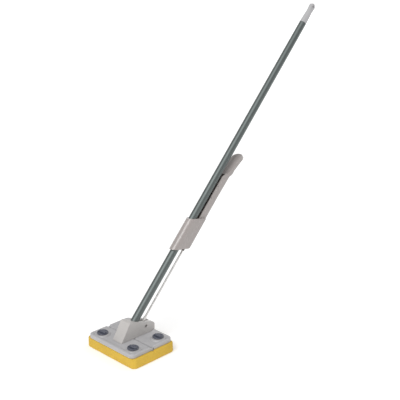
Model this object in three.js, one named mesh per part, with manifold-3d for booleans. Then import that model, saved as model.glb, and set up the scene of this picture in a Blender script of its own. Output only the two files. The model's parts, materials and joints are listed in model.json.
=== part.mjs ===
// A hinged sponge mop head on a long leaning pole, with a hand lever that folds the
// head to wring the sponge. Millimetres, +Z up.
//
// The origin is on the floor, under the middle of the head. The head hinge runs along X,
// the pole leans back toward +Y. Parts on the pole are made in the pole's own frame:
// x across the pole, y out of its underside, z along it from the foot.
import * as THREE from "three";
import { mergeVertices } from "three/addons/utils/BufferGeometryUtils.js";
import Module from "manifold-3d";

const wasm = await Module();
wasm.setup();

// ---------------------------------------------------------------- driving dimensions

const GAP = 0.3; // between neighbours that touch
const SIDES = 16; // facets of an ordinary round

const sponge = { width: 205, depth: 153, height: 28.5, corner: 15, seam: 5 };
const plate = { width: 189, depth: 149, bottom: 28.9, top: 36.3, corner: 14, bevel: 3 };
const border = { top: 40.3, land: 9, slope: 4 }; // the raised border round the plate
const seam = { halfWidth: 0.75, notch: 3.9, notchTop: 34, frontRamp: 13, backRamp: 5 };
const pocket = { rim: 5, skin: 2.6, seamLand: 5 };
const board = { thickness: 2, inset: 9, seamInset: 8 };

const hinge = { z: plate.bottom, barrel: 3.2, bore: 1.4, pin: 1.1, pinEnd: 91 };
const knuckles = { inner: 22, first: 42, second: 73.7, outer: 94, gap: 0.6 };

const knob = { x: 65.3, y: 46, radius: 16, height: 3.2, grip: 2.8, shaft: 6, bar: 8.5 };
const boss = { radius: 20, top: border.top, washer: 0.7, clearance: 1.1 }; // under each knob

const lean = THREE.MathUtils.degToRad(90 - 46.95); // of the pole, from upright
const poleFoot = new THREE.Vector3(0, -21.55, 36.29); // where its axis meets the plate
const pole = { radius: 11, wall: 1.2, bottom: 16, top: 1144 };

const housing = { halfWidth: 19, wall: 4, skin: 3.5, roof: 3, socket: 14.8, slot: 5, slotFrom: 31 };

// The wringer is a parallelogram: hinge line, crank pin, rod pin and lever pivot.
const crank = { y: 42, z: 59.5 };
const pivotAlong = 321.7; // the lever pivot, along the pole
const bracketScrews = [311, 355]; // along the pole
const rod = { radius: 3, fitting: 4, eye: 5.2, eyeHalf: 3.6, socketFrom: 9 };
const crossPin = { radius: 2.2, hole: 2.5 }; // crank pin, rod pin and lever pivot

const bracket = { radius: 15.8, reach: 35.5, floor: 13.4, channel: 11, low: 293.2, high: 398.5, slant: 0.68 };
const lever = { half: 10.6, wall: 2.2, inner: 14.3, outer: 38.6, forkEnd: 393 };
const paddle = { low: 576, knee: 602, tip: 659, half: 17 };
const cap = { hole: 4.2, loop: 10.5, loopAt: 1214, shoulder: 1196 };

// ---------------------------------------------------------------- solids

function solid(geometry) {
  geometry.deleteAttribute("normal");
  geometry.deleteAttribute("uv");
  const merged = mergeVertices(geometry, 1e-4);
  return new wasm.Manifold(
    new wasm.Mesh({
      numProp: 3,
      vertProperties: new Float32Array(merged.attributes.position.array),
      triVerts: new Uint32Array(merged.index.array),
    }),
  );
}

function geometryOf(shape) {
  const mesh = shape.getMesh();
  const indexed = new THREE.BufferGeometry();
  indexed.setAttribute("position", new THREE.BufferAttribute(mesh.vertProperties, 3));
  indexed.setIndex(new THREE.BufferAttribute(mesh.triVerts, 1));
  const flat = indexed.toNonIndexed();
  flat.computeVertexNormals();
  return flat;
}

function block(low, high) {
  const size = high.map((value, i) => value - low[i]);
  const middle = high.map((value, i) => (value + low[i]) / 2);
  return solid(new THREE.BoxGeometry(...size).translate(...middle));
}

function pinAlongX(radius, from, to, y, z, sides = SIDES) {
  const geometry = new THREE.CylinderGeometry(radius, radius, to - from, sides);
  geometry.rotateZ(-Math.PI / 2);
  return solid(geometry.translate((from + to) / 2, y, z));
}

function pinAlongY(radius, from, to, x, z, sides = SIDES) {
  const geometry = new THREE.CylinderGeometry(radius, radius, to - from, sides);
  return solid(geometry.translate(x, (from + to) / 2, z));
}

function pinAlongZ(radius, from, to, x = 0, y = 0, sides = SIDES) {
  const geometry = new THREE.CylinderGeometry(radius, radius, to - from, sides);
  geometry.rotateX(Math.PI / 2);
  return solid(geometry.translate(x, y, (from + to) / 2));
}

// A shape drawn in x and y, raised between two heights.
function raised(shape, from, to) {
  const geometry = new THREE.ExtrudeGeometry(shape, {
    depth: to - from,
    bevelEnabled: false,
    curveSegments: 5,
  });
  return solid(geometry.translate(0, 0, from));
}

// A shape drawn in y and z, stretched evenly to both sides of x = 0, or from one x to another.
function across(shape, from, to) {
  const geometry = new THREE.ExtrudeGeometry(shape, {
    depth: to - from,
    bevelEnabled: false,
    curveSegments: 6,
  });
  geometry.translate(0, 0, from);
  const turn = new THREE.Matrix4().makeBasis(
    new THREE.Vector3(0, 1, 0),
    new THREE.Vector3(0, 0, 1),
    new THREE.Vector3(1, 0, 0),
  );
  return solid(geometry.applyMatrix4(turn));
}

// A shape drawn in x and z, stretched from one y to another.
function through(shape, from, to) {
  const geometry = new THREE.ExtrudeGeometry(shape, {
    depth: to - from,
    bevelEnabled: false,
    curveSegments: 5,
  });
  geometry.rotateX(Math.PI / 2);
  return solid(geometry.translate(0, to, 0));
}

// A ring or a stepped round turned about z, from [radius, z] corners.
function turned(corners, sides = SIDES) {
  const profile = corners.map(([radius, z]) => new THREE.Vector2(radius, z));
  const geometry = new THREE.LatheGeometry(profile, sides);
  geometry.rotateX(Math.PI / 2);
  return solid(geometry);
}

function polygon(corners) {
  return new THREE.Shape(corners.map(([a, b]) => new THREE.Vector2(a, b)));
}

function roundedRectangle(width, depth, radius) {
  const [x, y] = [width / 2 - radius, depth / 2 - radius];
  const shape = new THREE.Shape();
  shape.absarc(x, -y, radius, -Math.PI / 2, 0);
  shape.absarc(x, y, radius, 0, Math.PI / 2);
  shape.absarc(-x, y, radius, Math.PI / 2, Math.PI);
  shape.absarc(-x, -y, radius, Math.PI, 1.5 * Math.PI);
  return shape;
}

// ---------------------------------------------------------------- materials and groups

function finish(color, roughness, metalness = 0) {
  return new THREE.MeshStandardMaterial({ color, roughness, metalness });
}

const materials = {
  plate: finish(0xc4c4c8, 0.45),
  housing: finish(0xbdb6b2, 0.45),
  lever: finish(0xafa5a0, 0.35),
  knob: finish(0x3e4556, 0.35),
  pole: finish(0x66706e, 0.35, 0.6),
  steel: finish(0xcfcbc6, 0.3, 0.9),
  darkSteel: finish(0x55504c, 0.45, 0.7),
  foam: finish(0xe8b92e, 0.9),
  board: finish(0xa8a49e, 0.6),
};

const head = new THREE.Group();
const onPole = new THREE.Group();
onPole.position.copy(poleFoot);
onPole.rotation.x = -lean;

function add(group, name, shape, material) {
  const mesh = new THREE.Mesh(geometryOf(shape), material);
  mesh.name = name;
  group.add(mesh);
}

// A point of the head, in the pole's frame: [out of the underside, along the pole].
function fromHead(y, z) {
  const along = new THREE.Vector3(0, Math.sin(lean), Math.cos(lean));
  const out = new THREE.Vector3(0, Math.cos(lean), -Math.sin(lean));
  const point = new THREE.Vector3(0, y, z).sub(poleFoot);
  return [point.dot(out), point.dot(along)];
}

// A shape made in the pole's frame, moved into the head's.
function toHead(shape) {
  const turn = new THREE.Matrix4().makeRotationX(-lean).setPosition(poleFoot);
  return shape.transform(turn.elements);
}

const [hingeOut, hingeAlong] = fromHead(0, hinge.z);
const [crankOut, crankAlong] = fromHead(crank.y, crank.z);
const pivot = { out: hingeOut, along: pivotAlong };
const rodPin = { out: crankOut, along: pivotAlong + crankAlong - hingeAlong };

// ---------------------------------------------------------------- sponge and its boards

const FAR = 300; // past anything that a half is cut from

// Keeps what lies on one side of the seam: side -1 is the front, +1 the back.
function halfOf(shape, side, from) {
  const low = side > 0 ? from : -FAR;
  const high = side > 0 ? FAR : -from;
  return shape.intersect(block([-FAR, low, -FAR], [FAR, high, FAR]));
}

// The two sponge solids meet a little behind the hinge, so the front one holds the origin.
function spongeHalf(side) {
  const whole = raised(roundedRectangle(sponge.width, sponge.depth, sponge.corner), 0, sponge.height);
  const recessFloor = sponge.height - board.thickness - GAP;
  const recess = roundedRectangle(
    plate.width - 2 * board.inset + 2 * GAP,
    plate.depth - 2 * board.inset + 2 * GAP,
    plate.corner / 2,
  );
  const boardSpace = halfOf(raised(recess, recessFloor, FAR), side, board.seamInset - GAP);
  let shape = halfOf(whole, side, side * sponge.seam + GAP / 2).subtract(boardSpace);
  shape = shape.subtract(pinAlongX(hinge.barrel + 1, -FAR, FAR, 0, hinge.z));
  for (const x of [-knob.x, knob.x]) {
    shape = shape.subtract(pinAlongZ(knob.bar + 2, recessFloor - 4, FAR, x, side * knob.y));
  }
  return shape;
}

function backingBoard(side) {
  const outline = roundedRectangle(
    plate.width - 2 * board.inset,
    plate.depth - 2 * board.inset,
    plate.corner / 2,
  );
  const top = sponge.height;
  let shape = halfOf(raised(outline, top - board.thickness, top), side, board.seamInset);
  for (const x of [-knob.x, knob.x]) {
    shape = shape.subtract(pinAlongZ(knob.bar + 1, 0, FAR, x, side * knob.y));
  }
  return shape;
}

// ---------------------------------------------------------------- hinged plates

const screwPlaces = {
  front: [
    [-17, -31],
    [17, -31],
    [-17, -9],
    [17, -9],
  ],
  back: [
    [-6.9, 33],
    [6.9, 33],
    [-6.9, 51],
    [6.9, 51],
  ],
};
const screw = { radius: 1.5, head: 3.2, headHeight: 2.1, boss: 6 };

// The x ranges of the knuckles that a half carries, and of those it makes room for.
function knuckleRanges(side) {
  const { inner, first, second, outer, gap } = knuckles;
  const frontOnes = [
    [inner, first],
    [second, outer],
  ];
  const backOnes = [[first + gap, second - gap]];
  const both = (ranges) => ranges.flatMap(([a, b]) => [[a, b], [-b, -a]]);
  return side < 0 ? [both(frontOnes), both(backOnes)] : [both(backOnes), both(frontOnes)];
}

// The plate before it is hollowed and split: a slab with a raised border and, where the
// two halves meet, a dip in that border, gentle in front and steep behind.
function plateBlank() {
  const { bevel } = plate;
  const outline = roundedRectangle(plate.width, plate.depth, plate.corner);
  const slab = new THREE.ExtrudeGeometry(outline, {
    depth: border.top - plate.bottom,
    bevelThickness: bevel,
    bevelSize: bevel,
    bevelOffset: -bevel,
    bevelSegments: 1,
    curveSegments: 4,
  });
  const { land, slope } = border;
  const floor = roundedRectangle(plate.width - 2 * land, plate.depth - 2 * land, plate.corner - land + 2);
  const tray = new THREE.ExtrudeGeometry(floor, {
    depth: 2 * slope,
    bevelThickness: slope,
    bevelSize: slope,
    bevelOffset: -slope,
    bevelSegments: 1,
    curveSegments: 3,
  });
  const dip = polygon([
    [-seam.frontRamp, border.top],
    [-seam.halfWidth, plate.top],
    [seam.backRamp / 2, plate.top],
    [seam.backRamp, border.top],
    [seam.backRamp, FAR],
    [-seam.frontRamp, FAR],
  ]);
  // The border is open at the back, where the socket housing's tail lies over it.
  const tailWay = housing.halfWidth + 1.5;
  return solid(slab.translate(0, 0, plate.bottom - bevel))
    .intersect(block([-FAR, -FAR, plate.bottom], [FAR, FAR, FAR]))
    .subtract(solid(tray.translate(0, 0, plate.top + slope)))
    .subtract(across(dip, -FAR, FAR))
    .subtract(block([-tailWay, 50, plate.top], [tailWay, FAR, FAR]));
}

function plateHalf(side) {
  const { rim, skin, seamLand } = pocket;
  const screws = side < 0 ? screwPlaces.front : screwPlaces.back;
  let shape = halfOf(plateBlank(), side, seam.halfWidth);
  const hollow = raised(
    roundedRectangle(plate.width - 2 * rim, plate.depth - 2 * rim, plate.corner - rim),
    plate.bottom - 1,
    plate.top - skin,
  );
  shape = shape.subtract(halfOf(hollow, side, seam.halfWidth + seamLand));

  // Ribs, knob bosses and screw bosses inside the hollow.
  const inside = plate.width / 2 - rim + 1;
  const ribY = side * 27;
  const roofed = plate.top - skin + 0.5;
  shape = shape.add(block([-inside, ribY - 1, plate.bottom], [inside, ribY + 1, roofed]));
  for (const x of [-32, 32]) {
    const ends = [side * (seam.halfWidth + 1), side * (plate.depth / 2 - rim + 1)].sort((a, b) => a - b);
    shape = shape.add(block([x - 1, ends[0], plate.bottom], [x + 1, ends[1], roofed]));
  }
  for (const [x, y] of screws) {
    shape = shape.add(pinAlongZ(screw.boss, plate.bottom, roofed, x, y));
  }
  for (const x of [-knob.x, knob.x]) {
    shape = shape.add(pinAlongZ(knob.shaft + 3.5, plate.bottom, roofed, x, side * knob.y));
    shape = shape.add(pinAlongZ(boss.radius, plate.top - 1, boss.top, x, side * knob.y, 24));
    shape = shape.subtract(pinAlongZ(knob.shaft + GAP, 0, FAR, x, side * knob.y));
  }
  for (const [x, y] of screws) {
    shape = shape.subtract(pinAlongZ(screw.radius + GAP, 0, FAR, x, y));
    shape = shape.subtract(pinAlongZ(screw.head + GAP, 0, plate.bottom + screw.headHeight + GAP, x, y));
  }

  const [own, others] = knuckleRanges(side);
  for (const [from, to] of others) {
    const ends = [0, side * seam.notch].sort((a, b) => a - b);
    const { gap } = knuckles;
    shape = shape.subtract(block([from - gap, ends[0], 0], [to + gap, ends[1], seam.notchTop]));
  }
  for (const [from, to] of own) {
    const ends = [0, side * (seam.halfWidth + seamLand / 2)].sort((a, b) => a - b);
    const web = block([from, ends[0], hinge.z], [to, ends[1], hinge.z + hinge.barrel]);
    shape = shape.add(pinAlongX(hinge.barrel, from, to, 0, hinge.z)).add(web);
  }
  return shape.subtract(pinAlongX(hinge.bore, -FAR, FAR, 0, hinge.z, 12));
}

function plateScrew(x, y, length) {
  const head = pinAlongZ(screw.head, plate.bottom, plate.bottom + screw.headHeight, x, y, 12);
  return head.add(pinAlongZ(screw.radius, plate.bottom + 1, plate.bottom + length, x, y, 12));
}

// ---------------------------------------------------------------- knobs

// A quarter-turn knob: finger bar, disc, shaft through the plate and the latch bar under it.
function knobShape(x, y) {
  const low = boss.top + boss.clearance;
  const high = low + knob.height;
  const bottom = sponge.height - board.thickness;
  const latchTop = plate.bottom - GAP;
  let shape = turned([
    [0, low],
    [knob.radius, low],
    [knob.radius, high - 1.4],
    [knob.radius - 1.6, high],
    [0, high],
  ], 24);
  const grip = raised(roundedRectangle(26, 8, 3.9), high - 1, high + knob.grip);
  const latch = raised(roundedRectangle(2 * knob.bar, 7, 3.4), bottom, latchTop);
  shape = shape.add(grip).add(pinAlongZ(knob.shaft, bottom + 0.5, low + 1)).add(latch);
  return shape.translate([x, y, 0]);
}

function knobWasher(x, y) {
  const low = boss.top + GAP / 2;
  const high = low + boss.washer;
  const ring = turned([
    [knob.shaft + GAP, low],
    [knob.shaft + 5, low],
    [knob.shaft + 5, high],
    [knob.shaft + GAP, high],
    [knob.shaft + GAP, low],
  ]);
  return ring.translate([x, y, 0]);
}

// ---------------------------------------------------------------- socket housing

function housingShape() {
  const foot = plate.top + GAP;
  const { halfWidth, wall, skin, roof, socket, slot, slotFrom } = housing;
  const front = { low: [-47, foot], high: [-15.5, 86] };
  const crest = [-10, 87];
  const tail = [73, 62];
  const rear = 75.5;
  const outline = polygon([front.low, [rear, foot], [rear, 56], tail, crest, front.high]);

  const steep = Math.atan2(front.high[1] - foot, front.high[0] - front.low[0]);
  const skinShift = skin / Math.sin(steep);
  const fall = (tail[1] - crest[1]) / (tail[0] - crest[0]);
  const underRoof = (y) => crest[1] + fall * (y - crest[0]) - roof;
  const frontInside = front.high[0] + skinShift - 1;
  const inner = polygon([
    [front.low[0] + skinShift - 5 / Math.tan(steep), foot - 5],
    [rear + 5, foot - 5],
    [rear + 5, underRoof(rear + 5)],
    [frontInside, underRoof(frontInside)],
  ]);
  const void_ = across(inner, -halfWidth + wall, halfWidth - wall);
  const tube = toHead(pinAlongZ(socket, 13, 76));
  let shape = across(outline, -halfWidth, halfWidth).subtract(void_.subtract(tube));
  shape = shape.subtract(toHead(pinAlongZ(pole.radius + GAP, 0, 120, 0, 0, 24)));
  // The push rod comes down through a slot in the roof that runs out at the back.
  shape = shape.subtract(block([-slot, slotFrom, foot + 15], [slot, FAR, FAR]));
  // The hole that the crank pin is driven in through, in each side wall.
  shape = shape.subtract(pinAlongX(4.4, -FAR, FAR, crank.y + 1.5, crank.z - 0.5, 16));
  shape = shape.subtract(toHead(pinAlongY(screw.radius + GAP, 0, 20, 0, 27, 12)));
  for (const [x, y] of screwPlaces.front) {
    shape = shape.subtract(pinAlongZ(screw.radius + GAP, 0, plate.bottom + 19, x, y, 12));
  }
  return shape;
}

// ---------------------------------------------------------------- pole, its plug and cap

function tubeShape() {
  const { radius, wall, bottom, top } = pole;
  const shape = turned([
    [radius - wall, bottom],
    [radius, bottom],
    [radius, top],
    [radius - wall, top],
    [radius - wall, bottom],
  ], 24);
  let holes = pinAlongY(screw.radius + GAP, 0, 20, 0, 27, 12);
  for (const along of bracketScrews) {
    holes = holes.add(pinAlongY(screw.radius + GAP, 0, 20, 0, along, 12));
  }
  return shape.subtract(holes);
}

function footPlug() {
  const inner = pole.radius - pole.wall - GAP;
  const shape = turned([
    [0, pole.bottom - 2.5],
    [pole.radius, pole.bottom - 2.5],
    [pole.radius, pole.bottom - GAP],
    [inner, pole.bottom - GAP],
    [inner, 40],
    [0, 40],
  ]);
  return shape.subtract(pinAlongY(screw.radius + GAP, 2, 20, 0, 27, 12));
}

// A screw that goes in from the underside of the pole.
function undersideScrew(along, seat, depth) {
  const head = pinAlongY(screw.head, seat, seat + 1.8, 0, along, 16);
  return head.add(pinAlongY(screw.radius, seat - depth, seat + 1, 0, along, 12));
}

function hangCap() {
  const inner = pole.radius - pole.wall - GAP;
  const low = pole.top + GAP;
  const body = turned([
    [0, low - 26],
    [inner - 1, low - 26],
    [inner, low - 22],
    [inner, low],
    [pole.radius + 0.3, low],
    [pole.radius + 0.3, low + 3],
    [pole.radius - 0.6, low + 30],
    [pole.radius - 2, cap.shoulder],
    [pole.radius - 4, cap.shoulder + 5],
    [0, cap.shoulder + 5],
  ]);
  const loop = pinAlongX(cap.loop, -5.5, 5.5, 0, cap.loopAt);
  const neck = polygon([
    [-8.6, cap.shoulder - 4],
    [8.6, cap.shoulder - 4],
    [cap.loop - 0.2, cap.loopAt],
    [-cap.loop + 0.2, cap.loopAt],
  ]);
  const hole = pinAlongX(cap.hole, -FAR, FAR, 0, cap.loopAt, 16);
  return body.add(loop).add(across(neck, -5.5, 5.5)).subtract(hole);
}

// ---------------------------------------------------------------- lever bracket and lever

function bracketShape() {
  const { radius, reach, floor, channel, low, high, slant } = bracket;
  const section = new THREE.Shape();
  section.moveTo(radius, 0);
  section.lineTo(radius, reach);
  section.lineTo(channel, reach);
  section.lineTo(channel, floor);
  section.lineTo(-channel, floor);
  section.lineTo(-channel, reach);
  section.lineTo(-radius, reach);
  section.lineTo(-radius, 0);
  section.absarc(0, 0, radius, Math.PI, 2 * Math.PI);
  const round = 5;
  const side = new THREE.Shape();
  side.moveTo(-radius - 1, low - slant * (radius + 1));
  side.lineTo(reach - round, low + slant * (reach - round));
  side.quadraticCurveTo(reach, low + slant * reach, reach, low + slant * reach + round);
  side.lineTo(reach, high + slant * reach);
  side.lineTo(-radius - 1, high - slant * (radius + 1));
  const span = across(side, -radius - 1, radius + 1);
  let shape = raised(section, 200, 500).intersect(span);
  shape = shape.subtract(pinAlongZ(pole.radius + GAP, 100, 600, 0, 0, 24));
  const blind = radius - 0.7;
  shape = shape.subtract(pinAlongX(crossPin.radius + GAP, -blind, blind, pivot.out, pivot.along, 16));
  for (const along of bracketScrews) {
    shape = shape.subtract(pinAlongY(screw.radius + GAP, 0, 20, 0, along, 12));
  }
  return shape;
}

function leverShape() {
  const { half, wall, inner, outer, forkEnd } = lever;
  const { low, knee, tip } = paddle;
  const end = pivot.out - inner;
  const cheek = new THREE.Shape();
  cheek.absarc(pivot.out, pivot.along, end, Math.PI, 2 * Math.PI);
  cheek.lineTo(34, pivot.along + 34);
  cheek.lineTo(outer - 1.5, forkEnd);
  cheek.lineTo(outer, forkEnd + 30);
  cheek.lineTo(outer, 500);
  cheek.lineTo(41, low + 6);
  cheek.lineTo(30, low + 6);
  cheek.lineTo(24, low - 2);
  cheek.lineTo(inner, low - 18);
  const space = polygon([
    [0, 0],
    [FAR, 0],
    [FAR, forkEnd],
    [outer - 3.7, forkEnd],
    [outer - 2.2, forkEnd + 30],
    [outer - 2.2, 500],
    [38.4, low - 6],
    [0, low - 6],
  ]);
  let shape = across(cheek, -half, half).subtract(across(space, -half + wall, half - wall));

  // The thumb paddle widens past the lever's end and flares away from the pole.
  const paddleSide = polygon([
    [25, low - 2],
    [41, low - 2],
    [39.8, knee - 5],
    [44.8, 624],
    [48.8, 643],
    [49.3, tip],
    [44, tip],
    [36, 645],
    [31, 625],
    [27, knee],
  ]);
  const wide = paddle.half;
  const paddleFace = new THREE.Shape();
  paddleFace.moveTo(-half, low - 2);
  paddleFace.lineTo(half, low - 2);
  paddleFace.quadraticCurveTo(wide, low + 3, wide, low + 14);
  paddleFace.absarc(0, tip - wide, wide, 0, Math.PI);
  paddleFace.quadraticCurveTo(-wide, low + 3, -half, low - 2);
  const blade = across(paddleSide, -wide, wide).intersect(through(paddleFace, 20, 60));
  shape = shape.add(blade);

  for (const along of [482.6, 523.8, 567.7]) {
    shape = shape.subtract(pinAlongX(1.8, -FAR, FAR, inner + 4, along, 14));
  }
  shape = shape.subtract(pinAlongX(crossPin.hole, -FAR, FAR, pivot.out, pivot.along, 16));
  return shape.subtract(pinAlongX(crossPin.hole, -FAR, FAR, rodPin.out, rodPin.along, 16));
}

// ---------------------------------------------------------------- push rod and its pins

// An eye round a pin across x, with a socket for the rod's end to one side of it.
function rodFitting(pin, direction, socketLength) {
  const eye = pinAlongX(rod.eye, -rod.eyeHalf, rod.eyeHalf, pin.out, pin.along);
  const reach = rod.socketFrom + socketLength;
  const ends = [pin.along + direction * 3, pin.along + direction * reach].sort((a, b) => a - b);
  const bore = [pin.along + direction * rod.socketFrom, pin.along + direction * (reach + 5)];
  bore.sort((a, b) => a - b);
  let shape = pinAlongZ(rod.fitting, ...ends, 0, pin.out, 16);
  shape = shape.subtract(pinAlongZ(rod.radius + GAP, ...bore, 0, pin.out, 16)).add(eye);
  return shape.subtract(pinAlongX(crossPin.hole, -FAR, FAR, pin.out, pin.along, 16));
}

// ---------------------------------------------------------------- wringer horn

const horn = { outer: 9.4, inner: 4.4, low: 24, high: 61, boss: 6.3, flange: 3 };

function hornShape() {
  const foot = plate.top + GAP;
  const { outer, inner, low, high, boss, flange } = horn;
  const side = new THREE.Shape();
  side.moveTo(low, foot);
  side.lineTo(high, foot);
  side.lineTo(high, foot + 7);
  side.absarc(crank.y, crank.z, boss, 0.2, Math.PI - 0.2);
  side.lineTo(low, foot + 6);
  let shape = across(side, -outer, outer);
  shape = shape.subtract(block([-inner, -FAR, foot + flange], [inner, FAR, FAR]));
  shape = shape.subtract(pinAlongX(crossPin.hole, -FAR, FAR, crank.y, crank.z, 16));
  for (const [x, y] of screwPlaces.back) {
    shape = shape.subtract(pinAlongZ(screw.radius + GAP, 0, plate.bottom + 19, x, y, 12));
  }
  return shape;
}

function crankClip(side) {
  const near = horn.outer + GAP;
  const ring = pinAlongX(4.4, near, near + 1.2, crank.y, crank.z, 16);
  const clip = ring.subtract(pinAlongX(crossPin.radius + GAP / 2, 0, FAR, crank.y, crank.z, 16));
  return side > 0 ? clip : clip.mirror([1, 0, 0]);
}

// ---------------------------------------------------------------- assembly

const halves = [
  { name: "front", side: -1, screws: screwPlaces.front },
  { name: "back", side: 1, screws: screwPlaces.back },
];

for (const { name, side, screws } of halves) {
  add(head, `${name}_plate`, plateHalf(side), materials.plate);
  add(head, `${name}_sponge`, spongeHalf(side), materials.foam);
  add(head, `${name}_backing_board`, backingBoard(side), materials.board);
  screws.forEach(([x, y], i) => {
    const owner = side < 0 ? "housing" : "horn";
    add(head, `${owner}_screw_${i + 1}`, plateScrew(x, y, 17), materials.steel);
  });
  for (const [hand, x] of [["left", -knob.x], ["right", knob.x]]) {
    add(head, `${name}_${hand}_knob`, knobShape(x, side * knob.y), materials.knob);
    add(head, `${name}_${hand}_knob_washer`, knobWasher(x, side * knob.y), materials.steel);
  }
}

const hingePin = pinAlongX(hinge.pin, -hinge.pinEnd, hinge.pinEnd, 0, hinge.z, 12);
add(head, "hinge_pin", hingePin, materials.steel);
add(head, "socket_housing", housingShape(), materials.housing);
add(head, "wringer_horn", hornShape(), materials.housing);
const crankPin = pinAlongX(crossPin.radius, -12.9, 12.9, crank.y, crank.z, 16);
add(head, "crank_pin", crankPin, materials.darkSteel);
add(head, "crank_pin_clip_left", crankClip(-1), materials.steel);
add(head, "crank_pin_clip_right", crankClip(1), materials.steel);

add(onPole, "pole_tube", tubeShape(), materials.pole);
add(onPole, "pole_foot_plug", footPlug(), materials.housing);
add(onPole, "pole_screw", undersideScrew(27, housing.socket + GAP, 9), materials.steel);
add(onPole, "hang_cap", hangCap(), materials.plate);
add(onPole, "lever_bracket", bracketShape(), materials.lever);
bracketScrews.forEach((along, i) => {
  const shape = undersideScrew(along, bracket.floor + GAP, 6.5);
  add(onPole, `bracket_screw_${i + 1}`, shape, materials.steel);
});
add(onPole, "lever", leverShape(), materials.lever);
const pivotHalf = bracket.radius - 1.1;
const pivotPin = pinAlongX(crossPin.radius, -pivotHalf, pivotHalf, pivot.out, pivot.along, 16);
add(onPole, "lever_pivot_pin", pivotPin, materials.steel);
const rodPinShape = pinAlongX(crossPin.radius, -lever.half, lever.half, rodPin.out, rodPin.along, 16);
add(onPole, "rod_pin", rodPinShape, materials.steel);
const rodEnds = [crankAlong + rod.socketFrom + GAP, rodPin.along - rod.socketFrom - GAP];
add(onPole, "push_rod", pinAlongZ(rod.radius, ...rodEnds, 0, crankOut, 12), materials.steel);
const lowerFitting = rodFitting({ out: crankOut, along: crankAlong }, 1, 14);
add(onPole, "rod_lower_fitting", lowerFitting, materials.steel);
add(onPole, "rod_top_fitting", rodFitting(rodPin, -1, 60), materials.darkSteel);

const mop = new THREE.Group();
mop.add(head, onPole);

export default mop;
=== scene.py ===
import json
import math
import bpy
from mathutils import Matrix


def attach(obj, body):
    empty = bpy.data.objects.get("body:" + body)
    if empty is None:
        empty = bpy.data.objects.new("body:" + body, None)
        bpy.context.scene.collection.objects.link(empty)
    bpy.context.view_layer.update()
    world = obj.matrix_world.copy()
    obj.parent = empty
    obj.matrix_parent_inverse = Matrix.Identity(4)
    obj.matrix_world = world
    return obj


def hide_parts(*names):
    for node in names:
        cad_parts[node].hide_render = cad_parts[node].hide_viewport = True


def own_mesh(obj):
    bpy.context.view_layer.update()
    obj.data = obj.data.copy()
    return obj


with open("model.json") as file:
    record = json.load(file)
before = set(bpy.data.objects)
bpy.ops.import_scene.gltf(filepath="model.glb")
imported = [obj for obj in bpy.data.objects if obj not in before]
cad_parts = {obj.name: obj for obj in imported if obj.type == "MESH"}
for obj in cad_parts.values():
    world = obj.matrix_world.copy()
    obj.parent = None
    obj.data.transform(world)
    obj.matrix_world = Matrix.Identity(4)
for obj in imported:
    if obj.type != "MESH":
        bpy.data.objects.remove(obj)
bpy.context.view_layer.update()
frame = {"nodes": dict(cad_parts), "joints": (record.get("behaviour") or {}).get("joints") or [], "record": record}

# A folding sponge mop. Pieces are made in millimetres, either in the head's frame (x along
# the head hinge, y back, z up) or in the pole's frame (x across, y out of the underside,
# z along the pole from its foot), and are turned to metres as they are finished.
from types import SimpleNamespace as Dims

import bmesh
import bpy
from mathutils import Matrix, Vector, noise

MM = 0.001
FAR = 400.0

# ---------------------------------------------------------------- dimensions

sponge = Dims(width=205, depth=153, height=28.5, corner=15, soft=1.6, voxel=1.9)
# How far each strip of a half reaches from the hinge line, and the share of its thickness
# that it keeps at full fold.
sponge.strips = ((7, 0.13), (16, 0.29), (27, 0.49), (40, 0.72), (80, 0.88))
# How the foam's surface waves, pits and roughens: heights in mm, scales per mm.
pores = Dims(wave=0.45, wave_scale=0.035, depth=0.75, size=0.34, scale=0.3)
pores.grain, pores.grain_scale, pores.limit = 0.22, 0.8, 0.42
# Hidden hollows in the foam: one for each backing board, and a well under each knob.
hollow = Dims(shrink=17.4, corner=7, depth=2.3, middle=7.7, well=10.5, well_depth=4)
plate = Dims(width=189, depth=149, bottom=28.9, top=36.3, corner=14, bevel=3)
border = Dims(top=40.3, land=9, slope=4)
seam = Dims(half=0.15, chamfer=2.2, front=13, back=5.5, depth=1.6, lip=1.0)
hinge = Dims(z=28.9, barrel=3.2, bore=1.4, pin=1.1, end=91, notch=3.9, notch_top=34)
knuckles = Dims(inner=22, first=42, second=73.7, outer=94, gap=0.6)
knob = Dims(x=65.3, y=46, radius=16, height=3.2, grip=2.8, dish=1.9, shaft=6, boss=20)
knob.low = border.top + 1.1
latch = Dims(length=17, width=7, corner=3.4, low=26.5, high=28.6)
housing = Dims(half=19, wall=4, skin=3.5, roof=3, socket=14.8, foot=36.6, slot=5, slot_from=31)
pole = Dims(radius=11, wall=1.2, bottom=16, top=1144)
bracket = Dims(radius=15.8, reach=35.5, floor=13.4, channel=11, low=293.2, high=398.5, slant=0.68)
lever = Dims(half=10.6, wall=2.2, inner=14.3, outer=38.6, fork=393)
lever.ribs = (434, 467, 500, 533)
lever.holes = (482.6, 523.8, 567.7)
paddle = Dims(low=576, knee=602, tip=659, half=17)
rod = Dims(radius=3, fitting=4, eye=5.2, half=3.6, socket=9)
pin = Dims(radius=2.2, hole=2.5, crank_half=12.9, clip=4.4, clip_width=1.2)
cap = Dims(hole=4.2, loop=10.5, at=1214, shoulder=1196, half=5.5)
crank = Dims(y=42, z=59.5)
horn = Dims(outer=9.4, inner=4.4, low=24, high=61, boss=6.3, flange=3)
screw = Dims(radius=1.5, head=3.2, height=1.8, cross=1.9, cross_half=0.45)
gap = 0.3    # between pieces that touch, and round pins and shafts
pole_screw_along = 27
bracket_screws = (311, 355)

LEAN = math.radians(90 - 46.95)
FOOT = Vector((0, -21.55, 36.29))
TO_HEAD = Matrix.Translation(FOOT) @ Matrix.Rotation(-LEAN, 4, "X")


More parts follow.
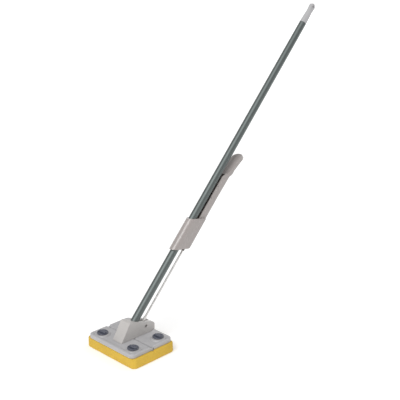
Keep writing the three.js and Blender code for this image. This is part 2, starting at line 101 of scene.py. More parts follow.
def joint_place(name):
    """A joint's point, in the pole's frame, as (out of the underside, along the pole)."""
    joint = next(j for j in frame["joints"] if j["name"] == name)
    point = TO_HEAD.inverted() @ (Vector(joint["pos_m"]) / MM)
    return point.y, point.z


pivot_out, pivot_along = joint_place("lever_swing")
rod_out, rod_along = joint_place("rod_swing")
crank_out, crank_along = (TO_HEAD.inverted() @ Vector((0, crank.y, crank.z))).yz

# ---------------------------------------------------------------- mesh tools


def new_object(bm, name="work"):
    bmesh.ops.recalc_face_normals(bm, faces=bm.faces)
    mesh = bpy.data.meshes.new(name)
    bm.to_mesh(mesh)
    bm.free()
    made = bpy.data.objects.new(name, mesh)
    bpy.context.scene.collection.objects.link(made)
    return made


def prism(outline, low, high, along="z"):
    """A closed outline, drawn in the two axes other than along, stretched from low to high."""
    place = {
        "x": lambda a, b, h: (h, a, b),
        "y": lambda a, b, h: (a, h, b),
        "z": lambda a, b, h: (a, b, h),
    }[along]
    bm = bmesh.new()
    rings = [[bm.verts.new(place(p[0], p[1], h)) for p in outline] for h in (low, high)]
    bm.faces.new(rings[0])
    bm.faces.new(reversed(rings[1]))
    count = len(outline)
    for i in range(count):
        j = (i + 1) % count
        bm.faces.new((rings[0][i], rings[0][j], rings[1][j], rings[1][i]))
    return new_object(bm)


def lathe(profile, sides=48, along="z", at=(0, 0, 0)):
    """A profile of (radius, height) turned about an axis; a closed profile makes a ring."""
    turn = {
        "x": Matrix.Rotation(math.pi / 2, 4, "Y"),
        "y": Matrix.Rotation(-math.pi / 2, 4, "X"),
        "z": Matrix.Identity(4),
    }[along]
    bm = bmesh.new()
    rings = []
    for radius, height in profile:
        if radius < 1e-6:
            rings.append([bm.verts.new((0, 0, height))])
            continue
        angles = [2 * math.pi * i / sides for i in range(sides)]
        rings.append([bm.verts.new((radius * math.cos(t), radius * math.sin(t), height)) for t in angles])
    closed = len(profile) > 2 and profile[0] == profile[-1]
    if closed:
        for v in rings[-1]:
            bm.verts.remove(v)
        rings[-1] = rings[0]
    for a, b in zip(rings, rings[1:]):
        for i in range(sides):
            j = (i + 1) % sides
            corners = [a[i % len(a)], a[j % len(a)], b[j % len(b)], b[i % len(b)]]
            kept = [v for k, v in enumerate(corners) if v not in corners[:k]]
            if len(kept) > 2:
                bm.faces.new(kept)
    made = new_object(bm)
    made.data.transform(Matrix.Translation(at) @ turn)
    return made


def rod_between(radius, low, high, along="z", at=(0, 0, 0), chamfer=0.0, sides=48):
    """A plain or chamfered round bar."""
    profile = [(0, low), (radius - chamfer, low)]
    if chamfer:
        profile += [(radius, low + chamfer), (radius, high - chamfer)]
    profile += [(radius - chamfer, high), (0, high)]
    return lathe(profile, sides, along, at)


def box_between(low, high):
    outline = [(low[0], low[1]), (high[0], low[1]), (high[0], high[1]), (low[0], high[1])]
    return prism(outline, low[2], high[2])


def arc(centre, radius, start, stop, steps=12):
    """Points on an arc, from one angle to another in degrees."""
    turn = [math.radians(start + (stop - start) * i / steps) for i in range(steps + 1)]
    return [(centre[0] + radius * math.cos(t), centre[1] + radius * math.sin(t)) for t in turn]


def rounded(corners, radius, steps=6):
    """Corners (a, b), or (a, b, own radius), joined by straight lines, each one rounded."""
    points = []
    for i, corner in enumerate(corners):
        here = Vector(corner[:2])
        own = corner[2] if len(corner) > 2 else radius
        back = Vector(corners[i - 1][:2]) - here
        ahead = Vector(corners[(i + 1) % len(corners)][:2]) - here
        half = back.angle(ahead) / 2
        if own <= 0 or half > 1.54:
            points.append(tuple(here))
            continue
        reach = min(own / math.tan(half), 0.48 * back.length, 0.48 * ahead.length)
        first = here + back.normalized() * reach
        last = here + ahead.normalized() * reach
        for k in range(steps + 1):
            t = k / steps
            points.append(tuple(first * (1 - t) ** 2 + here * 2 * t * (1 - t) + last * t * t))
    return points


def rounded_rectangle(width, depth, radius, steps=10):
    x, y = width / 2 - radius, depth / 2 - radius
    return (
        arc((x, -y), radius, -90, 0, steps)
        + arc((x, y), radius, 0, 90, steps)
        + arc((-x, y), radius, 90, 180, steps)
        + arc((-x, -y), radius, 180, 270, steps)
    )


def applied(target):
    """Makes the modifiers on target part of its mesh."""
    bpy.context.view_layer.update()
    view = target.evaluated_get(bpy.context.evaluated_depsgraph_get())
    mesh = bpy.data.meshes.new_from_object(view)
    target.modifiers.clear()
    target.data = mesh
    return target


def combine(target, tool, operation):
    modifier = target.modifiers.new("combine", "BOOLEAN")
    modifier.operation = operation
    modifier.solver = "EXACT"
    modifier.object = tool
    applied(target)
    bpy.data.objects.remove(tool)
    return target


def cut(target, *tools):
    for tool in tools:
        combine(target, tool, "DIFFERENCE")
    return target


def join(target, *tools):
    for tool in tools:
        combine(target, tool, "UNION")
    return target


def keep(target, tool):
    return combine(target, tool, "INTERSECT")


def soften(target, width, segments=3, angle=38):
    """Rounds the edges sharper than an angle."""
    bm = bmesh.new()
    bm.from_mesh(target.data)
    bmesh.ops.remove_doubles(bm, verts=bm.verts, dist=0.004)
    bmesh.ops.dissolve_limit(bm, angle_limit=math.radians(0.6), verts=bm.verts, edges=bm.edges)
    bm.to_mesh(target.data)
    bm.free()
    modifier = target.modifiers.new("soften", "BEVEL")
    modifier.width = width
    modifier.segments = segments
    modifier.limit_method = "ANGLE"
    modifier.angle_limit = math.radians(angle)
    modifier.use_clamp_overlap = True
    return applied(target)


def smooth(target, angle=38):
    for polygon in target.data.polygons:
        polygon.use_smooth = True
    target.data.set_sharp_from_angle(angle=math.radians(angle))
    modifier = target.modifiers.new("normals", "WEIGHTED_NORMAL")
    modifier.keep_sharp = True
    return applied(target)


def piece(target, name, body, finish, *nodes, on_pole=False, shade=38):
    """Finishes a work object: true units, smooth shading, material, body and CAD nodes."""
    smooth(target, shade)
    place = TO_HEAD if on_pole else Matrix.Identity(4)
    target.data.transform(Matrix.Scale(MM, 4) @ place)
    target.name = name
    target.data.name = name
    target.data.materials.clear()
    target.data.materials.append(materials[finish])
    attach(target, body)
    if nodes:
        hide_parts(*nodes)
    return target


# ---------------------------------------------------------------- materials


class Shader:
    """A node material, with short calls for the nodes that the finishes share."""

    def __init__(self, name):
        self.material = bpy.data.materials.new(name)
        self.material.use_nodes = True
        self.tree = self.material.node_tree
        self.bsdf = self.tree.nodes["Principled BSDF"]
        self.place = self.node("ShaderNodeTexCoord").outputs["Object"]

    def node(self, kind, **values):
        made = self.tree.nodes.new(kind)
        for key, value in values.items():
            setattr(made, key, value)
        return made

    def link(self, source, socket):
        self.tree.links.new(source, socket)

    def set(self, **values):
        names = {"roughness": "Roughness", "metallic": "Metallic", "coat": "Coat Weight",
                 "coat_roughness": "Coat Roughness", "sheen": "Sheen Weight",
                 "specular": "Specular IOR Level"}
        for key, value in values.items():
            self.bsdf.inputs[names[key]].default_value = value

    def mapped(self, scale, turn=0.0):
        """Coordinates turned about x, then stretched by three scales."""
        turned = self.node("ShaderNodeMapping")
        turned.inputs["Rotation"].default_value = (turn, 0, 0)
        stretched = self.node("ShaderNodeMapping")
        stretched.inputs["Scale"].default_value = scale
        self.link(self.place, turned.inputs["Vector"])
        self.link(turned.outputs["Vector"], stretched.inputs["Vector"])
        return stretched.outputs["Vector"]

    def noise(self, scale, detail=4.0, roughness=0.55, place=None):
        made = self.node("ShaderNodeTexNoise")
        made.inputs["Scale"].default_value = scale
        made.inputs["Detail"].default_value = detail
        made.inputs["Roughness"].default_value = roughness
        self.link(place or self.place, made.inputs["Vector"])
        return made.outputs["Fac"]

    def cells(self, scale):
        made = self.node("ShaderNodeTexVoronoi")
        made.inputs["Scale"].default_value = scale
        self.link(self.place, made.inputs["Vector"])
        return made.outputs["Distance"]

    def ramp(self, source, *stops):
        """stops are (position, colour) pairs."""
        made = self.node("ShaderNodeValToRGB")
        elements = made.color_ramp.elements
        while len(elements) < len(stops):
            elements.new(0.5)
        for element, (position, color) in zip(elements, stops):
            element.position = position
            element.color = (*color, 1)
        self.link(source, made.inputs["Fac"])
        return made.outputs["Color"]

    def span(self, source, low, high, start=0.0, stop=1.0):
        """Maps start..stop to low..high."""
        made = self.node("ShaderNodeMapRange")
        made.inputs["From Min"].default_value = start
        made.inputs["From Max"].default_value = stop
        made.inputs["To Min"].default_value = low
        made.inputs["To Max"].default_value = high
        self.link(source, made.inputs["Value"])
        return made.outputs["Result"]

    def mix(self, factor, first, second, blend="MIX"):
        made = self.node("ShaderNodeMix", data_type="RGBA", blend_type=blend)
        self.link(factor, made.inputs["Factor"])
        self.link(first, made.inputs[6])
        self.link(second, made.inputs[7])
        return made.outputs[2]

    def bump(self, height, distance, strength=1.0, under=None):
        made = self.node("ShaderNodeBump")
        made.inputs["Strength"].default_value = strength
        made.inputs["Distance"].default_value = distance
        self.link(height, made.inputs["Height"])
        if under:
            self.link(under, made.inputs["Normal"])
        return made.outputs["Normal"]

    def wear(self, socket, value):
        self.link(value, self.bsdf.inputs[socket])


def scaled(color, factor):
    return tuple(min(1.0, channel * factor) for channel in color)


def plastic(name, color, low=0.36, high=0.52, grain=0.00004, coat=0.0):
    """Satin moulded plastic: faint flow clouds, fine spark grain and a few rubbed scratches."""
    s = Shader(name)
    clouds = s.noise(26, 5)
    shades = ((0.25, scaled(color, 0.93)), (0.55, color), (0.85, scaled(color, 1.05)))
    s.wear("Base Color", s.ramp(clouds, *shades))
    scuffs = s.noise(1.0, 6, 0.6, s.mapped((420, 60, 60), 0.7))
    s.wear("Roughness", s.span(scuffs, low, high, 0.3, 0.7))
    spark = s.bump(s.noise(1500, 2), grain, 0.55)
    s.wear("Normal", s.bump(s.noise(60, 3), grain * 4, 0.3, spark))
    s.set(specular=0.45, coat=coat, coat_roughness=0.12)
    return s.material


def foam(name, color, pore_shade):
    """Open-cell foam: pores of two sizes with painted shade inside them, over uneven dye."""
    s = Shader(name)
    large = s.cells(330)
    small = s.cells(900)
    dye = s.ramp(s.noise(14, 6, 0.6), (0.25, scaled(color, 0.9)), (0.7, scaled(color, 1.04)))
    # Painted shade: the colour darkens towards the middle of each large and small pore, where the bump makes pits.
    pore = s.ramp(large, (0.1, pore_shade), (0.3, (1, 1, 1)))
    fine = s.ramp(small, (0.06, scaled(pore_shade, 1.3)), (0.26, (1, 1, 1)))
    factor = s.span(s.noise(70, 3), 0.35, 0.85, 0.35, 0.65)
    coloured = s.mix(factor, dye, s.mix(factor, dye, pore, "MULTIPLY"))
    s.wear("Base Color", s.mix(factor, coloured, fine, "MULTIPLY"))
    height = s.bump(s.span(large, 0, 1, 0.05, 0.4), 0.0007, 0.6)
    s.wear("Normal", s.bump(s.span(small, 0, 1, 0.02, 0.3), 0.0003, 0.6, height))
    s.wear("Roughness", s.span(s.noise(120, 3), 0.82, 0.98))
    s.set(sheen=0.05, specular=0.2)
    return s.material


def lacquered_tube(name, color):
    """Metallic lacquer on a drawn tube: long faint draw lines and flakes."""
    s = Shader(name)
    lines = s.noise(1.0, 4, 0.6, s.mapped((1500, 1500, 5), LEAN))
    flakes = s.cells(2600)
    base = s.ramp(lines, (0.3, scaled(color, 0.88)), (0.7, scaled(color, 1.1)))
    flaked = s.ramp(flakes, (0.0, (1, 1, 1)), (0.5, (0.86, 0.86, 0.86)))
    s.wear("Base Color", s.mix(s.span(s.noise(40), 0.3, 0.8), base, flaked, "MULTIPLY"))
    s.wear("Roughness", s.span(lines, 0.44, 0.58, 0.3, 0.7))
    s.wear("Normal", s.bump(lines, 0.00002, 0.5))
    s.set(metallic=0.9, specular=0.3)
    return s.material


def plated_steel(name, color, low, high, metallic=1.0):
    """Plated steel wire or turned parts: draw lines along the pole and cloudy plating."""
    s = Shader(name)
    lines = s.noise(1.0, 4, 0.6, s.mapped((900, 900, 12), LEAN))
    clouds = s.ramp(s.noise(90, 4), (0.3, scaled(color, 0.82)), (0.7, scaled(color, 1.08)))
    s.wear("Base Color", clouds)
    s.wear("Roughness", s.span(lines, low, high, 0.3, 0.7))
    s.wear("Normal", s.bump(lines, 0.00003, 0.5))
    s.set(metallic=metallic)
    return s.material


materials = {
    "plate_plastic": plastic("plate_plastic", (0.45, 0.445, 0.455)),
    "housing_plastic": plastic("housing_plastic", (0.525, 0.505, 0.49), 0.3, 0.44),
    "lever_plastic": plastic("lever_plastic", (0.36, 0.325, 0.312), 0.2, 0.32, 0.00003, 0.5),
    "knob_plastic": plastic("knob_plastic", (0.085, 0.092, 0.122), 0.14, 0.26, 0.00002, 0.4),
    "board_plastic": plastic("board_plastic", (0.33, 0.31, 0.29), 0.5, 0.7),
    "pole_metal": lacquered_tube("pole_metal", (0.17, 0.192, 0.188)),
    "bright_steel": plated_steel("bright_steel", (0.82, 0.8, 0.78), 0.28, 0.45, 0.6),
    "dark_steel": plated_steel("dark_steel", (0.12, 0.105, 0.1), 0.35, 0.55),
    # The foam's second colour is the painted shade inside its pores.
    "sponge_foam": foam("sponge_foam", (0.68, 0.455, 0.068), (0.6, 0.34, 0.1)),
}
for row in frame["record"]["subparts"]:
    cad_node = frame["nodes"][row["node"]]
    cad_node.data.materials.clear()
    cad_node.data.materials.append(materials[row["material_slot"]])

# ---------------------------------------------------------------- camera, lights and floor


shot = Dims(azimuth=43.98, pitch=15.95, place=(1.3662, -1.1338, 0.9384), lens=62.37, sensor=36)
dish_shape = Dims(level=-0.0004, turn_from=20.0, wall=3.0, skin=0.2)
sun_softness = 40
# Name, heading round from the front and height (both in degrees), and power.
suns = (("key", 17, 52, 1.75), ("back", 168, 40, 0.35))


def studio():
    scene = bpy.context.scene
    azimuth, pitch = math.radians(shot.azimuth), math.radians(shot.pitch)
    forward = Vector((-math.sin(azimuth), math.cos(azimuth), -math.tan(pitch))).normalized()
    data = bpy.data.cameras.new("camera")
    data.lens = shot.lens
    data.sensor_width = shot.sensor
    data.clip_start = 0.01
    camera = bpy.data.objects.new("camera", data)
    camera.location = shot.place
    camera.rotation_euler = forward.to_track_quat("-Z", "Y").to_euler()
    scene.collection.objects.link(camera)
    scene.camera = camera

    # A wide pale dish: a flat floor that turns up into a low wall, far all round the object.
    d = dish_shape
    outer, under = d.turn_from + d.wall + d.skin, d.level - d.skin
    dish = [(0, d.level), (d.turn_from, d.level)]
    dish += arc((d.turn_from, d.wall + d.level), d.wall, -90, 0, 24)[1:]
    dish += [(outer, d.wall), (outer, under), (0, under)]
    floor = lathe(dish, 128)
    smooth(floor, 30)
    floor.name = "floor"
    paper = Shader("floor")
    greys = ((0.3, (0.91, 0.91, 0.91)), (0.7, (0.93, 0.93, 0.93)))
    paper.wear("Base Color", paper.ramp(paper.noise(2.0), *greys))
    paper.set(roughness=0.9, specular=0.1)
    paper.bsdf.inputs["Emission Color"].default_value = (1, 1, 1, 1)
    paper.bsdf.inputs["Emission Strength"].default_value = 0.2
    floor.data.materials.append(paper.material)

    world = bpy.data.worlds.new("studio")
    world.use_nodes = True
    world.node_tree.nodes["Background"].inputs["Color"].default_value = (1, 1, 1, 1)
    world.node_tree.nodes["Background"].inputs["Strength"].default_value = 0.45
    scene.world = world
    scene.view_settings.view_transform = "Standard"

    for name, heading, height, power in suns:
        light = bpy.data.lights.new(name, "SUN")
        light.energy = power
        light.angle = math.radians(sun_softness)
        lamp = bpy.data.objects.new(name, light)
        turn, rise = math.radians(heading), math.radians(height)
        toward = Vector((math.sin(turn) * math.cos(rise), -math.cos(turn) * math.cos(rise), math.sin(rise)))
        lamp.rotation_euler = (-toward).to_track_quat("-Z", "Y").to_euler()
        scene.collection.objects.link(lamp)


# ---------------------------------------------------------------- sponge


def sponge_block():
    outline = rounded_rectangle(sponge.width - 1, sponge.depth - 1, sponge.corner)
    block = prism(outline, 0.5, sponge.height - 0.3)
    cut(block, rod_between(hinge.barrel + 1, -FAR, FAR, "x", (0, 0, hinge.z)))
    floor = sponge.height - hollow.depth
    width, depth = plate.width - hollow.shrink, plate.depth - hollow.shrink
    recess = prism(rounded_rectangle(width, depth, hollow.corner), floor, FAR)
    cut(recess, box_between((-FAR, -hollow.middle, 0), (FAR, hollow.middle, 2 * FAR)))
    cut(block, recess)
    for x in (-knob.x, knob.x):
        for y in (-knob.y, knob.y):
            cut(block, rod_between(hollow.well, floor - hollow.well_depth, FAR, "z", (x, y, 0)))
    soften(block, sponge.soft, 2)
    remesh = block.modifiers.new("grid", "REMESH")
    remesh.mode = "VOXEL"
    remesh.voxel_size = sponge.voxel
    applied(block)
    # Pores and uneven cutting, as a push along each normal.
    mesh = block.data
    for vertex in mesh.vertices:
        place = vertex.co
        wave = noise.noise(place * pores.wave_scale) * pores.wave
        distance = noise.voronoi(place * pores.scale)[0][0]
        pore = -pores.depth * max(0.0, 1 - distance / pores.size)
        grain = noise.noise(place * pores.grain_scale) * pores.grain
        push = min(pores.limit, wave + pore + grain)
        vertex.co = place + vertex.normal * push
    return block


def sponge_halves():
    """Both halves of the sponge, each in strips along the hinge. The foam is pinched most near the
    hinge as the head folds, and sponge.strips lists a smaller share for the inner strips; nothing here flattens
    them."""
    whole = sponge_block()
    for name, side, body in (("front", -1, "root"), ("back", 1, "folding_half")):
        near = 0.0
        for number, (far, keep_share) in enumerate(sponge.strips, 1):
            strip = bpy.data.objects.new(name, whole.data.copy())
            bpy.context.scene.collection.objects.link(strip)
            bm = bmesh.new()
            bm.from_mesh(strip.data)
            for distance, outward in ((near, -side), (far, side)):
                if distance > sponge.depth / 2:
                    continue
                split = bmesh.ops.bisect_plane(
                    bm,
                    geom=bm.verts[:] + bm.edges[:] + bm.faces[:],
                    plane_co=(0, side * distance, 0),
                    plane_no=(0, outward, 0),
                    clear_outer=True,
                )
                edges = [e for e in split["geom_cut"] if isinstance(e, bmesh.types.BMEdge)]
                bmesh.ops.holes_fill(bm, edges=edges)
            bm.to_mesh(strip.data)
            bm.free()
            piece(strip, f"sponge_{name}_{number}", body, "sponge_foam", f"{name}_sponge", shade=70)
            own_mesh(strip)
            near = far
    bpy.data.objects.remove(whole)


# ---------------------------------------------------------------- hinged plates and knobs


def knuckle_ranges(side):
    """The x ranges of a half's own knuckles, and of the other half's; side is -1 in front."""
    front = [(knuckles.inner, knuckles.first), (knuckles.second, knuckles.outer)]
    back = [(knuckles.first + knuckles.gap, knuckles.second - knuckles.gap)]
    both = [[(a, b) for a, b in row] + [(-b, -a) for a, b in row] for row in (front, back)]
    return both if side < 0 else both[::-1]


def span_of(side, near, far):
    return sorted((side * near, side * far))


def ease(t):
    """From 0 to 1, level at both ends."""
    return (1 - math.cos(math.pi * t)) / 2


def loft(rings):
    """A closed skin over outlines with equal counts, given as (outline, z)."""
    bm = bmesh.new()
    loops = [[bm.verts.new((x, y, z)) for x, y in outline] for outline, z in rings]
    bm.faces.new(loops[0])
    bm.faces.new(loops[-1])
    count = len(loops[0])
    for a, b in zip(loops, loops[1:]):
        for i in range(count):
            j = (i + 1) % count
            bm.faces.new((a[i], a[j], b[j], b[i]))
    return new_object(bm)


def plate_slab():
    """The plate before it is split: a rounded rim, then a soft fall to the floor inside it."""
    rings = [(0.0, plate.bottom), (0.0, border.top - plate.bevel)]
    for k in range(1, 6):
        t = math.radians(18 * k)
        rings.append((plate.bevel * (1 - math.cos(t)), border.top - plate.bevel * (1 - math.sin(t))))
    rim_end, floor_start = border.land - 4, border.land + border.slope + 2
    for k in range(0, 9):
        inset = rim_end + (floor_start - rim_end) * k / 8
        rings.append((inset, border.top - (border.top - plate.top) * ease(k / 8)))
    outlines = []
    for inset, z in rings:
        corner = max(4, plate.corner - 0.75 * inset)
        outlines.append((rounded_rectangle(plate.width - 2 * inset, plate.depth - 2 * inset, corner, 12), z))
    return loft(outlines)


def seam_dip():
    """What is cut where the halves meet: a gentle fall in front, a chamfered lip behind, and
    behind that a steep rise through the border."""
    half, lip = seam.half, seam.half + seam.chamfer
    floor = plate.top - seam.depth
    fall = [
        (-seam.front + (seam.front - half) * k / 12, border.top - (border.top - floor) * ease(k / 12))
        for k in range(13)
    ]
    rise = [
        (lip + (seam.back - lip) * k / 6, plate.top + (border.top - plate.top) * ease(k / 6))
        for k in range(7)
    ]
    outline = fall + [(half, plate.top - seam.lip)] + rise + [(seam.back, FAR), (-seam.front, FAR)]
    return prism(outline, -FAR, FAR, "x")


def plate_half(name, side, body):
    slab = cut(plate_slab(), seam_dip())
    for x in (-knob.x, knob.x):
        profile = [(0, plate.top - 2), (knob.boss + 4, plate.top - 2), (knob.boss + 4, plate.top - 0.1)]
        for k in range(7):
            drop = (border.top - plate.top) * (1 - ease(k / 6))
            profile.append((knob.boss + 3.5 - 4 * k / 6, border.top - drop))
        profile.append((0, border.top))
        join(slab, lathe(profile, 72, "z", (x, side * knob.y, 0)))
    tail_way = housing.half + 1.5
    crack = box_between((-FAR, -seam.half, 0), (FAR, seam.half, FAR))
    cut(slab, crack, box_between((-tail_way, 50, plate.top), (tail_way, FAR, FAR)))
    low, high = span_of(side, 0, FAR)
    half = keep(slab, box_between((-FAR, low, 0), (FAR, high, FAR)))
    own, others = knuckle_ranges(side)
    for a, b in others:
        low, high = span_of(side, 0, hinge.notch)
        cut(half, box_between((a - knuckles.gap, low, 0), (b + knuckles.gap, high, hinge.notch_top)))
    for a, b in own:
        low, high = span_of(side, 0, 4.5)
        web = box_between((a, low, hinge.z), (b, high, hinge.z + hinge.barrel))
        join(half, web, rod_between(hinge.barrel, a, b, "x", (0, 0, hinge.z), 0.4, 32))
    cut(half, rod_between(hinge.bore, -FAR, FAR, "x", (0, 0, hinge.z), sides=20))
    for x in (-knob.x, knob.x):
        cut(half, rod_between(knob.shaft + gap, 0, FAR, "z", (x, side * knob.y, 0)))
    soften(half, 0.3, 2, 42)
    return piece(half, f"{name}_plate_shell", body, "plate_plastic", f"{name}_plate")


def knob_piece(name, x, y, body):
    low, high = knob.low, knob.low + knob.height
    r = knob.radius
    # A raised rim round a shallow dish, with a broad finger bar across it and a latch below.
    dish = high - knob.dish
    disc = lathe([
        (0, low), (r - 0.6, low), (r, low + 0.6), (r, high - 1.4), (r - 0.35, high - 0.5),
        (r - 1.1, high), (r - 2.0, high), (r - 2.8, high - 0.5), (r - 3.8, dish + 0.35), (r - 4.8, dish),
        (0, dish),
    ], 72)
    bar = rounded([(-13, -3.1, 3), (-6, -4.6, 6), (0, -5.2, 6), (6, -4.6, 6), (13, -3.1, 3),
                   (13, 3.1, 3), (6, 4.6, 6), (0, 5.2, 6), (-6, 4.6, 6), (-13, 3.1, 3)], 3, 5)
    grip = prism(bar, dish - 0.6, high + knob.grip)
    soften(grip, 1.6, 5)
    join(disc, grip)
    latch_bar = prism(rounded_rectangle(latch.length, latch.width, latch.corner), latch.low, latch.high)
    join(disc, rod_between(knob.shaft, latch.low + 0.5, low + 1), latch_bar)
    soften(disc, 0.3, 2, 40)
    disc.data.transform(Matrix.Translation((x, y, 0)))
    return piece(disc, f"{name}_knob_cap", body, "knob_plastic", f"{name}_knob")


# ---------------------------------------------------------------- socket housing


def housing_piece():
    h = housing
    low, high = (-47, h.foot), (-15.5, 86)
    crest, tail, rear = (-10, 87), (73, 62), 75.5
    outline = rounded([
        (*low, 0.6), (rear, h.foot, 0.6), (rear, 56, 4), (*tail, 4), (*crest, 4), (*high, 2),
    ], 2)
    shape = prism(outline, -h.half, h.half, "x")
    steep = math.atan2(high[1] - h.foot, high[0] - low[0])
    shift = h.skin / math.sin(steep)
    fall = (tail[1] - crest[1]) / (tail[0] - crest[0])

    def under_roof(y):
        return crest[1] + fall * (y - crest[0]) - h.roof

    front, back = high[0] + shift - 1, rear + 5
    inner = [
        (low[0] + shift - 5 / math.tan(steep), h.foot - 5), (back, h.foot - 5),
        (back, under_roof(back)), (front, under_roof(front)),
    ]
    space = prism(inner, -h.half + h.wall, h.half - h.wall, "x")
    tube = rod_between(h.socket, 13, 76, sides=72)
    tube.data.transform(TO_HEAD)
    cut(space, tube)
    cut(shape, space)
    bore = rod_between(pole.radius + gap, 0, 120, sides=72)
    bore.data.transform(TO_HEAD)
    cut(shape, bore, rod_between(4.4, -FAR, FAR, "x", (0, crank.y + 1.5, crank.z - 0.5), sides=40))
    slot = rounded_rectangle(2 * h.slot, 80, h.slot - 0.5)
    cut(shape, prism([(x, y + h.slot_from + 40) for x, y in slot], h.foot + 15, FAR))
    screw_hole = rod_between(screw.radius + gap, 0, 20, "y", (0, 0, pole_screw_along), sides=24)
    screw_hole.data.transform(TO_HEAD)
    cut(shape, screw_hole)
    soften(shape, 0.9, 3, 30)
    return piece(shape, "housing_shell", "root", "housing_plastic", "socket_housing")


# ---------------------------------------------------------------- pole, bracket and lever


def pole_pieces():
    r, wall = pole.radius, pole.wall
    tube = lathe([
        (r - wall, pole.bottom), (r - 0.3, pole.bottom), (r, pole.bottom + 0.3), (r, pole.top - 0.3),
        (r - 0.3, pole.top), (r - wall, pole.top), (r - wall, pole.bottom),
    ], 96)
    piece(tube, "pole_tube_skin", "root", "pole_metal", "pole_tube", on_pole=True)

    low = pole.top + gap
    body = lathe([
        (0, low - 26), (r - wall - 1.3, low - 26), (r - wall - 0.3, low - 22), (r - wall - 0.3, low),
        (r + 0.1, low), (r + 0.3, low + 0.3), (r + 0.3, low + 3), (r - 0.1, low + 4.2), (r - 0.3, low + 16),
        (r - 0.7, low + 30), (r - 1.5, cap.shoulder - 6), (r - 2.2, cap.shoulder),
        (r - 4.2, cap.shoulder + 4.4), (r - 6, cap.shoulder + 5.4), (0, cap.shoulder + 5.8),
    ], 64)
    neck = [(-8.6, cap.shoulder - 4), (8.6, cap.shoulder - 4)] + arc((0, cap.at), cap.loop, -6, 186, 30)
    loop = prism(neck, -cap.half, cap.half, "x")
    soften(loop, 1.8, 4)
    join(body, loop)
    cut(body, rod_between(cap.hole, -FAR, FAR, "x", (0, 0, cap.at), sides=40))
    soften(body, 0.6, 3, 34)
    piece(body, "hang_cap_shell", "root", "plate_plastic", "hang_cap", on_pole=True)


def bracket_piece():
    b = bracket
    section = [(b.radius, 0), (b.radius, b.reach), (b.channel, b.reach), (b.channel, b.floor),
               (-b.channel, b.floor), (-b.channel, b.reach), (-b.radius, b.reach), (-b.radius, 0)]
    section += arc((0, 0), b.radius, 180, 360, 40)[1:-1]
    shape = prism(section, 200, 500)
    front = -b.radius - 1
    side = rounded([
        (front, b.low + b.slant * front, 0), (b.reach, b.low + b.slant * b.reach, 9),
        (b.reach, b.high + b.slant * b.reach, 3), (front, b.high + b.slant * front, 0),
    ], 3, 8)
    keep(shape, prism(side, -b.radius - 1, b.radius + 1, "x"))
    cut(shape, rod_between(pole.radius + gap, 100, 600, sides=72))
    blind = b.radius - 0.7
    cut(shape, rod_between(pin.hole, -blind, blind, "x", (0, pivot_out, pivot_along), sides=32))
    for along in bracket_screws:
        cut(shape, rod_between(screw.radius + gap, 0, 20, "y", (0, 0, along), sides=24))
    soften(shape, 0.7, 3, 34)
    piece(shape, "lever_bracket_shell", "root", "lever_plastic", "lever_bracket", on_pole=True)


def lever_piece():
    v, p = lever, paddle
    end = pivot_out - v.inner
    cheek = arc((pivot_out, pivot_along), end, 180, 360, 20)
    cheek += [(34, pivot_along + 34), (v.outer - 1.5, v.fork), (v.outer, v.fork + 30), (v.outer, 500),
              (41, p.low + 6), (30, p.low + 6), (24, p.low - 2), (v.inner, p.low - 18)]
    shape = prism(cheek, -v.half, v.half, "x")
    space = [(0, 0), (FAR, 0), (FAR, v.fork), (v.outer - 3.7, v.fork), (v.outer - 2.2, v.fork + 30),
             (v.outer - 2.2, 500), (38.4, p.low - 6), (0, p.low - 6)]
    cut(shape, prism(space, -v.half + v.wall, v.half - v.wall, "x"))
    # Cross ribs that stiffen the channel.
    for along in v.ribs:
        outline = [(22, along), (37.5, along), (37.5, along + 1.6), (22, along + 1.6)]
        join(shape, prism(outline, -v.half + 1, v.half - 1, "x"))
    side = rounded([
        (25, p.low - 2, 0), (41, p.low - 2, 0), (39.8, p.knee - 5, 30), (44.8, 624, 40), (48.8, 643, 20),
        (49.3, p.tip, 4), (44, p.tip, 4), (36, 645, 20), (31, 625, 30), (27, p.knee, 30),
    ], 4)
    blade = prism(side, -p.half, p.half, "x")
    face = [(-v.half, p.low - 2), (v.half, p.low - 2), (p.half - 2.4, p.low + 3), (p.half - 0.4, p.low + 8),
            (p.half, p.low + 14)]
    face += arc((0, p.tip - p.half), p.half, 0, 180, 24)
    face += [(-p.half, p.low + 14), (-p.half + 0.4, p.low + 8), (-p.half + 2.4, p.low + 3)]
    keep(blade, prism(face, 20, 60, "y"))
    soften(blade, 1.8, 3, 30)
    join(shape, blade)
    for along in v.holes:
        cut(shape, rod_between(1.8, -FAR, FAR, "x", (0, v.inner + 4, along), sides=24))
    for out, along in ((pivot_out, pivot_along), (rod_out, rod_along)):
        cut(shape, rod_between(pin.hole, -FAR, FAR, "x", (0, out, along), sides=32))
    soften(shape, 0.45, 2, 34)
    piece(shape, "lever_shell", "lever_arm", "lever_plastic", "lever", on_pole=True)


# ---------------------------------------------------------------- rod, horn, pins and screws


def fitting_piece(name, out, along, direction, length, finish):
    """An eye round a pin across x, with a socket that takes the rod's end."""
    eye = rod_between(rod.eye, -rod.half, rod.half, "x", (0, out, along), 0.6)
    ends = sorted((along + direction * 3, along + direction * (rod.socket + length)))
    shank = rod_between(rod.fitting, *ends, "z", (0, out, 0), 0.5)
    bore = sorted((along + direction * rod.socket, along + direction * (rod.socket + length + 5)))
    cut(shank, rod_between(rod.radius + gap, *bore, "z", (0, out, 0)))
    join(shank, eye)
    cut(shank, rod_between(pin.hole, -FAR, FAR, "x", (0, out, along), sides=32))
    soften(shank, 0.3, 2, 40)
    piece(shank, f"{name}_body", "rod_link", finish, name, on_pole=True)


def rod_pieces():
    ends = (crank_along + rod.socket + gap, rod_along - rod.socket - gap)
    bar = rod_between(rod.radius, *ends, "z", (0, crank_out, 0), 0.4)
    piece(bar, "push_rod_wire", "rod_link", "bright_steel", "push_rod", on_pole=True)
    fitting_piece("rod_lower_fitting", crank_out, crank_along, 1, 14, "bright_steel")
    fitting_piece("rod_top_fitting", rod_out, rod_along, -1, 60, "dark_steel")


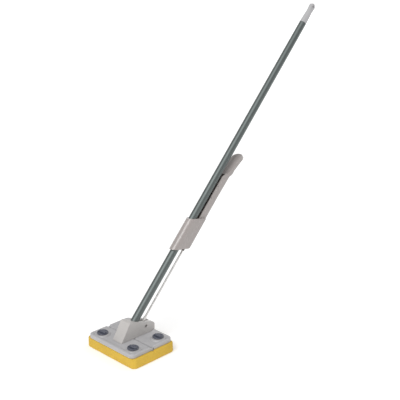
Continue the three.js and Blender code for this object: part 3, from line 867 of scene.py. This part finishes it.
def horn_piece():
    foot = housing.foot
    h = horn
    outline = [(h.low, foot), (h.high, foot), (h.high, foot + 7)]
    outline += arc((crank.y, crank.z), h.boss, 11, 169, 24) + [(h.low, foot + 6)]
    shape = prism(outline, -h.outer, h.outer, "x")
    cut(shape, box_between((-h.inner, -FAR, foot + h.flange), (h.inner, FAR, FAR)))
    cut(shape, rod_between(pin.hole, -FAR, FAR, "x", (0, crank.y, crank.z), sides=32))
    soften(shape, 0.6, 3, 32)
    piece(shape, "wringer_horn_body", "folding_half", "housing_plastic", "wringer_horn")


def pin_pieces():
    across = (
        ("crank_pin", pin.crank_half, crank_out, crank_along, "folding_half", "dark_steel"),
        ("lever_pivot_pin", bracket.radius - 1.1, pivot_out, pivot_along, "root", "bright_steel"),
        ("rod_pin", lever.half, rod_out, rod_along, "lever_arm", "bright_steel"),
    )
    for name, half, out, along, body, finish in across:
        shaft = rod_between(pin.radius, -half, half, "x", (0, out, along), 0.4)
        piece(shaft, f"{name}_bar", body, finish, name, on_pole=True)
    shaft = rod_between(hinge.pin, -hinge.end, hinge.end, "x", (0, 0, hinge.z), 0.3, 24)
    piece(shaft, "hinge_pin_bar", "root", "bright_steel", "hinge_pin")
    near = horn.outer + gap
    for hand, side in (("left", -1), ("right", 1)):
        low, high = span_of(side, near, near + pin.clip_width)
        clip = rod_between(pin.clip, low, high, "x", (0, crank.y, crank.z), 0.2)
        cut(clip, rod_between(pin.radius + 0.15, -FAR, FAR, "x", (0, crank.y, crank.z)))
        piece(clip, f"crank_clip_{hand}", "folding_half", "bright_steel", f"crank_pin_clip_{hand}")


def underside_screw(name, along, seat, depth):
    """A domed screw with a cross recess, driven in from the pole's underside."""
    top = seat + screw.height
    shape = lathe([
        (0, seat - depth), (screw.radius - 0.5, seat - depth), (screw.radius, seat - depth + 1),
        (screw.radius, seat), (screw.head, seat), (screw.head, seat + 0.7), (screw.head - 0.5, top - 0.3),
        (screw.head - 1.4, top), (0, top),
    ], 40, "y", (0, 0, along))
    for long, short in ((screw.cross, screw.cross_half), (screw.cross_half, screw.cross)):
        slot = [(-long, along - short), (long, along - short), (long, along + short), (-long, along + short)]
        cut(shape, prism(slot, top - 0.9, top + 2, "y"))
    piece(shape, f"{name}_detail", "root", "bright_steel", name, on_pole=True)


# ---------------------------------------------------------------- the whole object

studio()
sponge_halves()
plate_half("front", -1, "root")
plate_half("back", 1, "folding_half")
for row_name, row_side in (("front", -1), ("back", 1)):
    for hand, hand_side in (("left", -1), ("right", 1)):
        knob_name = f"{row_name}_{hand}"
        knob_piece(knob_name, hand_side * knob.x, row_side * knob.y, f"{knob_name}_latch")
housing_piece()
pole_pieces()
bracket_piece()
lever_piece()
rod_pieces()
horn_piece()
pin_pieces()
underside_screw("pole_screw", pole_screw_along, housing.socket + gap, 9)
for number, screw_along in enumerate(bracket_screws, 1):
    underside_screw(f"bracket_screw_{number}", screw_along, bracket.floor + gap, 6.5)
